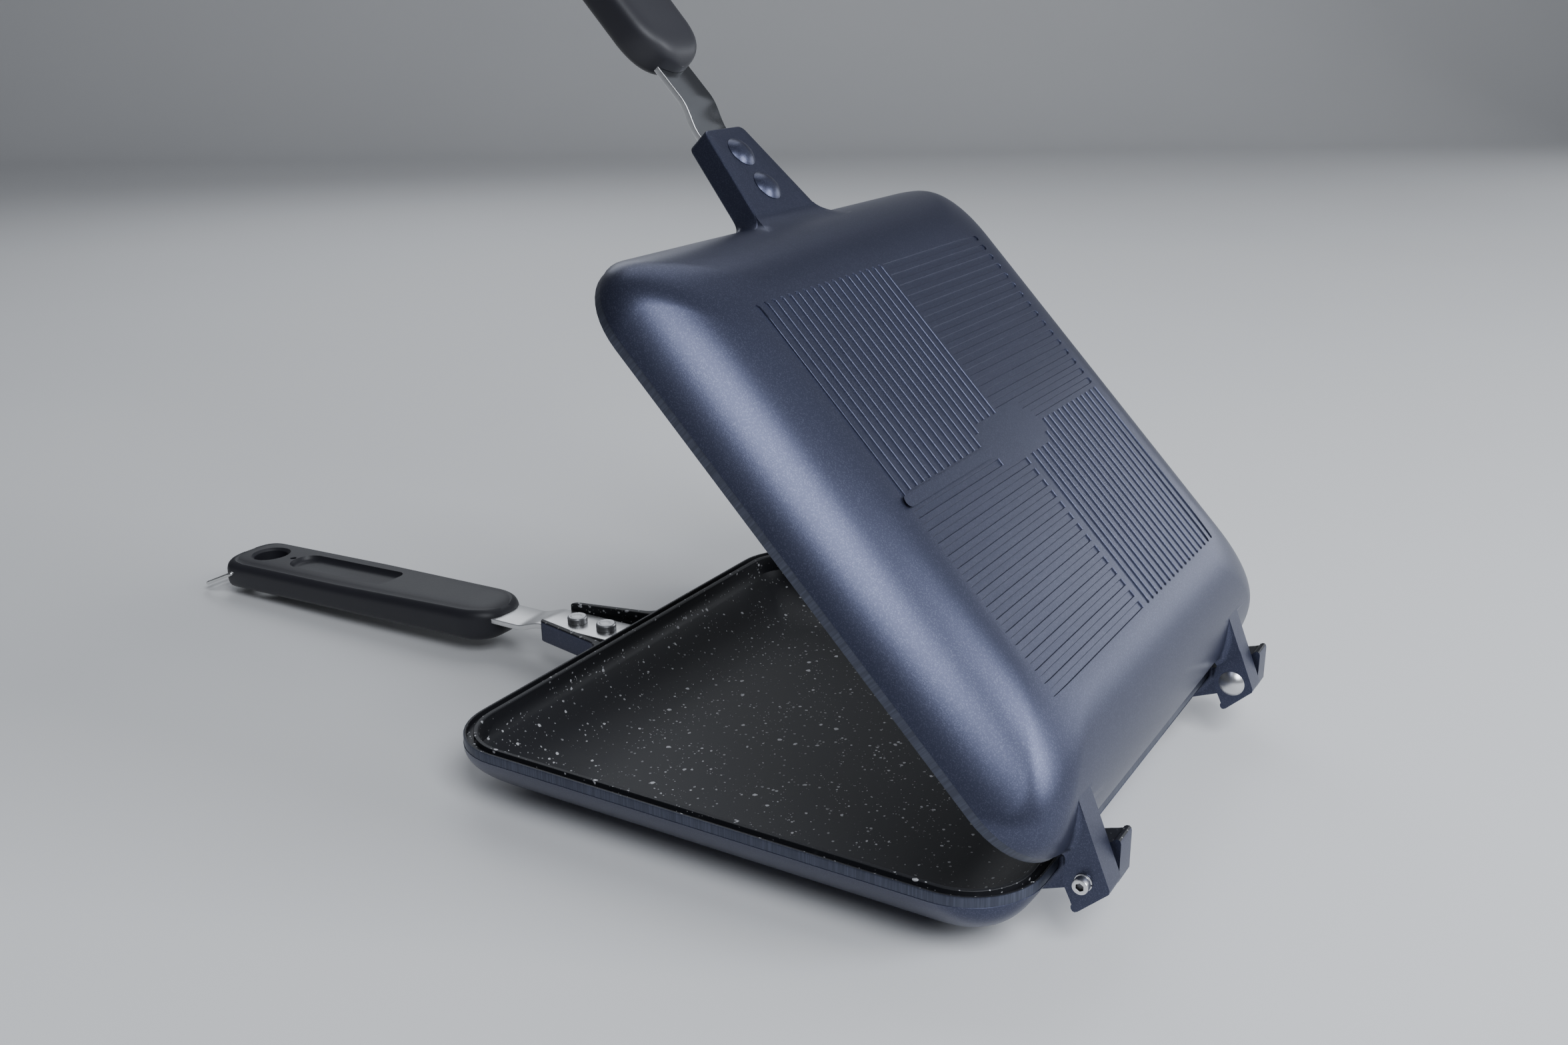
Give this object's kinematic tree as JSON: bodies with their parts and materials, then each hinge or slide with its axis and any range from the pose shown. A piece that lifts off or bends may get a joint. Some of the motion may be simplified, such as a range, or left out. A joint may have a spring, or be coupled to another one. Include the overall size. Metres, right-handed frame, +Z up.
{
  "type": "double sided flip pan",
  "caption": "Hinged stovetop flip pan: two shallow rectangular castings that close face to face, each on its own strap handle with a flat moulded grip, held shut by a wire bail.",
  "frame": {"origin": "centre of the lower pan's flat bottom face", "axes": "+X from the handles to the hinges, +Y along the hinge axis, +Z up"},
  "size_m": [0.5217, 0.25, 0.4064],
  "materials": {
    "cast_shell": "die cast aluminium, satin dark metallic paint outside and speckled non-stick coat inside",
    "seal": "matte silicone",
    "strap_steel": "satin stainless steel",
    "rivet_metal": "polished inside, painted outside",
    "grip_plastic": "matte moulded phenolic",
    "wire_steel": "bright wire",
    "bolt_steel": "polished"
  },
  "bodies": {
    "base": {"lower_pan": "cast_shell", "lower_strap": "strap_steel", "lower_rivet_outer": "rivet_metal", "lower_rivet_inner": "rivet_metal", "lower_grip": "grip_plastic", "near_barrel_nut": "bolt_steel", "near_socket_screw": "bolt_steel", "near_spring_washer": "bolt_steel", "near_spacer": "bolt_steel", "far_barrel_nut": "bolt_steel", "far_socket_screw": "bolt_steel", "far_spring_washer": "bolt_steel", "far_spacer": "bolt_steel"},
    "lid": {"upper_pan": "cast_shell", "rim_gasket": "seal", "upper_strap": "strap_steel", "upper_rivet_outer": "rivet_metal", "upper_rivet_inner": "rivet_metal", "upper_grip": "grip_plastic"},
    "bail": {"latch_bail": "wire_steel"}
  },
  "joints": [
    {"name": "lid_hinge", "type": "hinge", "parent": "base", "child": "lid", "pos_m": [0.131, 0, 0.0275], "axis": [0, 1, 0], "range_deg": [-46.4, 60]},
    {"name": "bail_pivot", "type": "hinge", "parent": "base", "child": "bail", "pos_m": [-0.3605, 0, 0.01346], "axis": [0, 1, 0], "range_deg": [-9, 84]}
  ]
}
